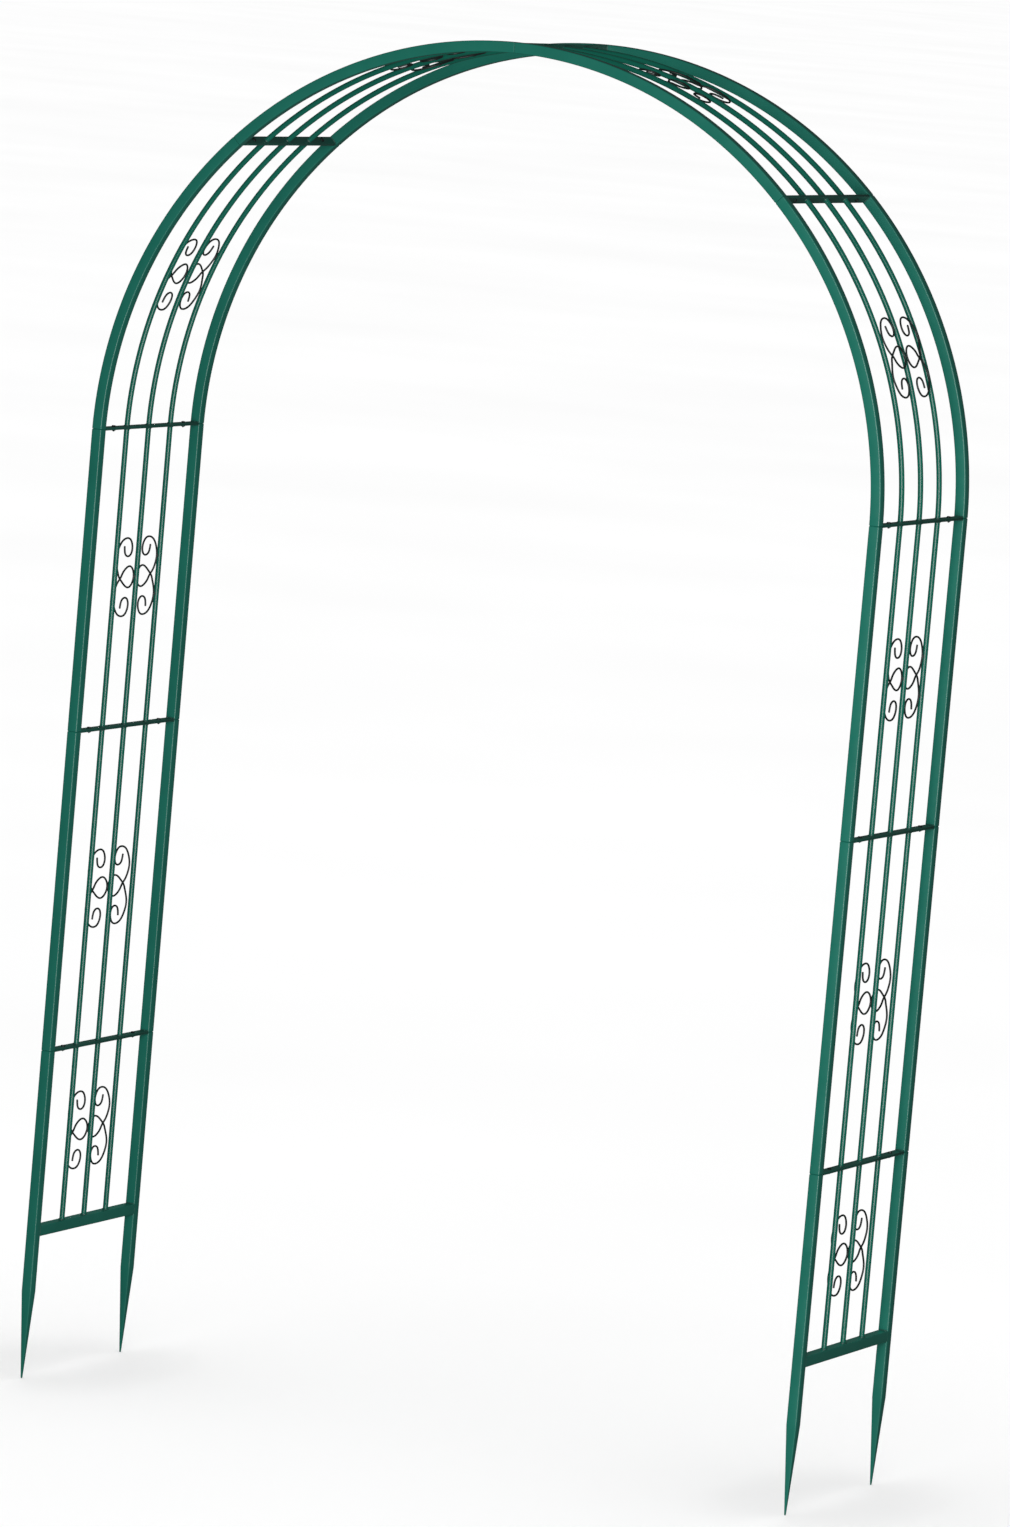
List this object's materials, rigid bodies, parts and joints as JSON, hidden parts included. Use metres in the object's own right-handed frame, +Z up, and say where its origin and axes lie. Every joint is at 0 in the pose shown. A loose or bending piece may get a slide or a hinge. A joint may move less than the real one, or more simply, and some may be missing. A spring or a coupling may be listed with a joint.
{
  "type": "garden trellis arch",
  "caption": "Garden trellis arch: bolted panels of square posts, round rods and wire scrolls, a half-round top over the walkway, and pointed legs that push into the soil.",
  "frame": {"origin": "middle of the arch in plan, at the level of the spike tips", "axes": "+Z up, +X across the walkway from one leg to the other, +Y along the walkway"},
  "size_m": [1.59, 0.41, 2.575],
  "materials": {
    "green_paint": "satin dark green coating",
    "scroll_paint": "satin near-black coating",
    "black_fasteners": "dark coated steel"
  },
  "bodies": {
    "root": {"foot_panel_left": "green_paint", "foot_panel_left_scroll": "scroll_paint", "lower_leg_panel_left": "green_paint", "lower_leg_panel_left_scroll": "scroll_paint", "upper_leg_panel_left": "green_paint", "upper_leg_panel_left_scroll": "scroll_paint", "lower_arch_panel_left": "green_paint", "lower_arch_panel_left_scroll": "scroll_paint", "upper_arch_panel_left": "green_paint", "upper_arch_panel_left_scroll": "scroll_paint", "foot_panel_right": "green_paint", "foot_panel_right_scroll": "scroll_paint", "lower_leg_panel_right": "green_paint", "lower_leg_panel_right_scroll": "scroll_paint", "upper_leg_panel_right": "green_paint", "upper_leg_panel_right_scroll": "scroll_paint", "lower_arch_panel_right": "green_paint", "lower_arch_panel_right_scroll": "scroll_paint", "upper_arch_panel_right": "green_paint", "upper_arch_panel_right_scroll": "scroll_paint", "apex_joint_front_bolt": "black_fasteners", "apex_joint_front_nut": "black_fasteners", "apex_joint_rear_bolt": "black_fasteners", "apex_joint_rear_nut": "black_fasteners", "low_joint_left_front_bolt": "black_fasteners", "low_joint_left_front_nut": "black_fasteners", "low_joint_left_rear_bolt": "black_fasteners", "low_joint_left_rear_nut": "black_fasteners", "mid_joint_left_front_bolt": "black_fasteners", "mid_joint_left_front_nut": "black_fasteners", "mid_joint_left_rear_bolt": "black_fasteners", "mid_joint_left_rear_nut": "black_fasteners", "spring_joint_left_front_bolt": "black_fasteners", "spring_joint_left_front_nut": "black_fasteners", "spring_joint_left_rear_bolt": "black_fasteners", "spring_joint_left_rear_nut": "black_fasteners", "hip_joint_left_front_bolt": "black_fasteners", "hip_joint_left_front_nut": "black_fasteners", "hip_joint_left_rear_bolt": "black_fasteners", "hip_joint_left_rear_nut": "black_fasteners", "low_joint_right_front_bolt": "black_fasteners", "low_joint_right_front_nut": "black_fasteners", "low_joint_right_rear_bolt": "black_fasteners", "low_joint_right_rear_nut": "black_fasteners", "mid_joint_right_front_bolt": "black_fasteners", "mid_joint_right_front_nut": "black_fasteners", "mid_joint_right_rear_bolt": "black_fasteners", "mid_joint_right_rear_nut": "black_fasteners", "spring_joint_right_front_bolt": "black_fasteners", "spring_joint_right_front_nut": "black_fasteners", "spring_joint_right_rear_bolt": "black_fasteners", "spring_joint_right_rear_nut": "black_fasteners", "hip_joint_right_front_bolt": "black_fasteners", "hip_joint_right_front_nut": "black_fasteners", "hip_joint_right_rear_bolt": "black_fasteners", "hip_joint_right_rear_nut": "black_fasteners"}
  },
  "joints": []
}
